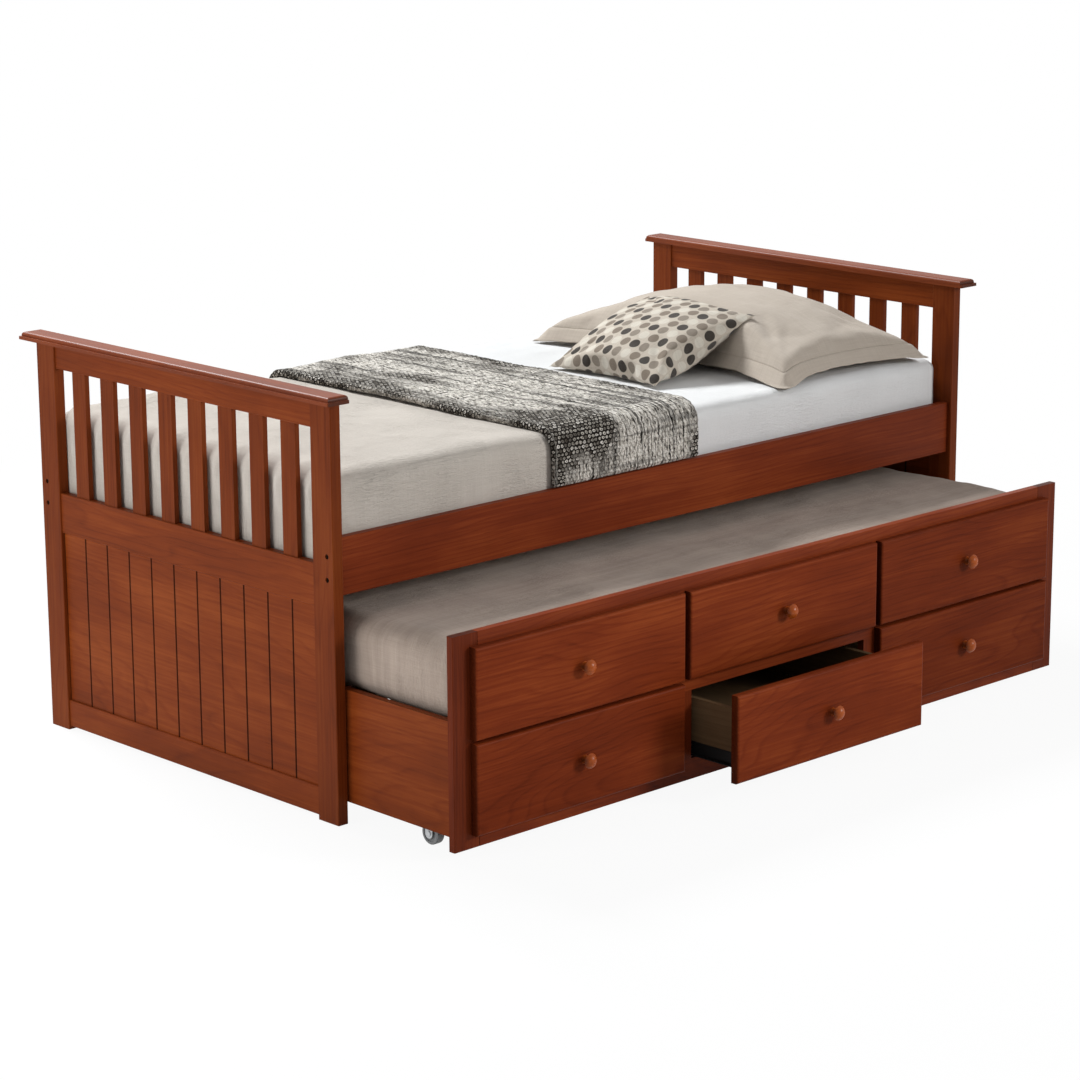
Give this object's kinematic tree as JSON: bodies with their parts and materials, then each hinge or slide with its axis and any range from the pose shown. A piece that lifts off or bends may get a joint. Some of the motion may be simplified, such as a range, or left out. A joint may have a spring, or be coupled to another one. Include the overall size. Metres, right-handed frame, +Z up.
{
  "type": "trundle bed",
  "caption": "Stained wooden single bed with slatted head and foot boards, a pull-out trundle bed with mattress, and drawers under the trundle.",
  "frame": {"origin": "on the floor under the middle of the bounding box, with the trundle and the middle drawer pulled out as pictured", "axes": "+X along the bed to the headboard, -Y to the side the trundle pulls out of, +Z up"},
  "size_m": [2.076, 1.5756, 0.926],
  "materials": {
    "cherry": "satin reddish stain",
    "plain_wood": "bare softwood",
    "box_wood": "matt brown",
    "knob": "glossy",
    "zinc": "zinc plated",
    "black_steel": "semi-matt",
    "wheel": "matt",
    "sheet": "plain weave",
    "linen": "linen weave",
    "tweed": "coarse tweed weave",
    "dots": "plain weave with round dots"
  },
  "bodies": {
    "bed_frame": {"footboard_post_front": "cherry", "footboard_post_rear": "cherry", "footboard_top_rail": "cherry", "footboard_mid_rail": "cherry", "footboard_bottom_rail": "cherry", "footboard_slats": "cherry", "footboard_panel": "cherry", "footboard_cap": "cherry", "headboard_post_front": "cherry", "headboard_post_rear": "cherry", "headboard_top_rail": "cherry", "headboard_mid_rail": "cherry", "headboard_bottom_rail": "cherry", "headboard_slats": "cherry", "headboard_panel": "cherry", "headboard_cap": "cherry", "side_rail_front": "cherry", "side_rail_rear": "cherry", "slat_cleats": "plain_wood", "bed_slats": "plain_wood", "rail_bolts": "black_steel", "barrel_nuts": "zinc", "upper_mattress": "sheet", "bed_cover": "linen", "throw_blanket": "tweed", "pillow": "linen", "dot_cushion": "dots"},
    "trundle": {"trundle_front_top_rail": "cherry", "trundle_front_mid_rail": "cherry", "trundle_front_bottom_rail": "cherry", "trundle_front_stiles": "cherry", "trundle_end_panel_foot": "cherry", "trundle_end_panel_head": "cherry", "trundle_back_panel": "cherry", "false_front_foot": "cherry", "false_front_center": "cherry", "false_front_head": "cherry", "false_front_knobs": "knob", "trundle_dividers": "plain_wood", "trundle_battens": "plain_wood", "trundle_deck_slats": "plain_wood", "fixed_runners": "black_steel", "caster_forks": "zinc", "trundle_mattress": "linen"},
    "drawer_foot": {"drawer_foot_front": "cherry", "drawer_foot_knob": "knob", "drawer_foot_box": "box_wood", "drawer_foot_runners": "black_steel"},
    "drawer_center": {"drawer_center_front": "cherry", "drawer_center_knob": "knob", "drawer_center_box": "box_wood", "drawer_center_runners": "black_steel"},
    "drawer_head": {"drawer_head_front": "cherry", "drawer_head_knob": "knob", "drawer_head_box": "box_wood", "drawer_head_runners": "black_steel"},
    "caster_wheel_foot_front": {"caster_wheel_foot_front": "wheel"},
    "caster_wheel_foot_rear": {"caster_wheel_foot_rear": "wheel"},
    "caster_wheel_head_front": {"caster_wheel_head_front": "wheel"},
    "caster_wheel_head_rear": {"caster_wheel_head_rear": "wheel"}
  },
  "joints": [
    {"name": "trundle_slide", "type": "slide", "parent": "bed_frame", "child": "trundle", "axis": [0, -1, 0], "range_m": [-0.341, 0.66]},
    {"name": "drawer_foot_slide", "type": "slide", "parent": "trundle", "child": "drawer_foot", "axis": [0, -1, 0], "range_m": [0, 0.32]},
    {"name": "drawer_center_slide", "type": "slide", "parent": "trundle", "child": "drawer_center", "axis": [0, -1, 0], "range_m": [-0.14, 0.18]},
    {"name": "drawer_head_slide", "type": "slide", "parent": "trundle", "child": "drawer_head", "axis": [0, -1, 0], "range_m": [0, 0.32]},
    {"name": "caster_foot_front_spin", "type": "hinge", "parent": "trundle", "child": "caster_wheel_foot_front", "pos_m": [-0.94, -0.49025, 0.025], "axis": [1, 0, 0], "continuous": true},
    {"name": "caster_foot_rear_spin", "type": "hinge", "parent": "trundle", "child": "caster_wheel_foot_rear", "pos_m": [-0.94, 0.25975, 0.025], "axis": [1, 0, 0], "continuous": true},
    {"name": "caster_head_front_spin", "type": "hinge", "parent": "trundle", "child": "caster_wheel_head_front", "pos_m": [0.94, -0.49025, 0.025], "axis": [1, 0, 0], "continuous": true},
    {"name": "caster_head_rear_spin", "type": "hinge", "parent": "trundle", "child": "caster_wheel_head_rear", "pos_m": [0.94, 0.25975, 0.025], "axis": [1, 0, 0], "continuous": true}
  ]
}
